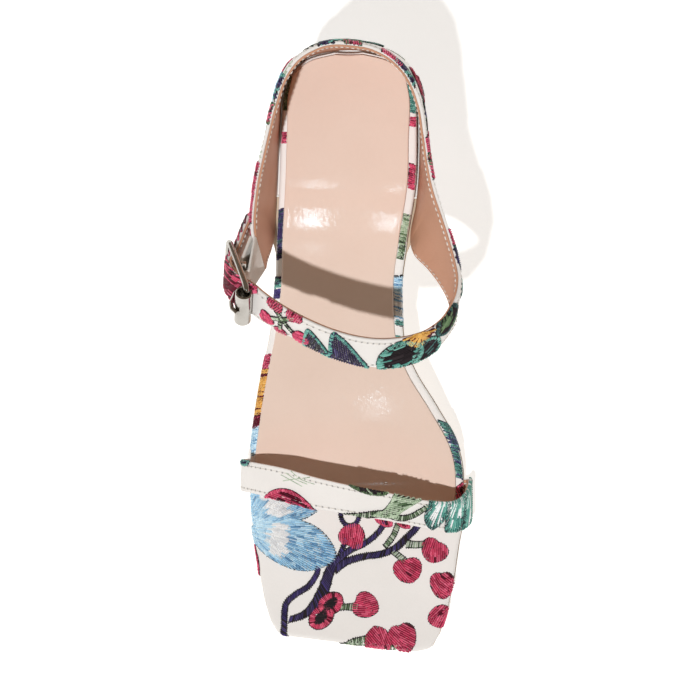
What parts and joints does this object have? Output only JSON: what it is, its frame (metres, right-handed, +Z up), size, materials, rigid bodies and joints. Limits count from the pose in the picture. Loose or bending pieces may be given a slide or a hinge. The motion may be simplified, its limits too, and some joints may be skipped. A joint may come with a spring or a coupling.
{
  "type": "block heel sandal",
  "caption": "Open-toe block heel sandal for the right foot, with a closed heel, a vamp strap, a buckled instep strap and crewel-style floral embroidery.",
  "frame": {"origin": "on the floor, under the middle of the shoe's box", "axes": "+Z up, +Y towards the heel and -Y towards the toe, +X towards the inner side of the right foot"},
  "size_m": [0.089, 0.2272, 0.1345],
  "materials": {
    "floral_leather": "smooth white leather with satin-stitched flowers",
    "pink_sock": "glossy nude pink lining leather",
    "sole_rubber": "matte beige, fine tread",
    "heel_tip": "matte, fine tread",
    "elastic": "white ribbed elastic webbing",
    "buckle_metal": "polished nickel"
  },
  "bodies": {
    "root": {"heel_block": "floral_leather", "heel_top_piece": "heel_tip", "outsole": "sole_rubber", "footbed": "floral_leather", "sock_lining": "pink_sock", "vamp_strap": "floral_leather", "upper": "floral_leather", "elastic_tab": "elastic", "buckle_frame": "buckle_metal", "buckle_roller": "buckle_metal", "buckle_prong": "buckle_metal"}
  },
  "joints": []
}
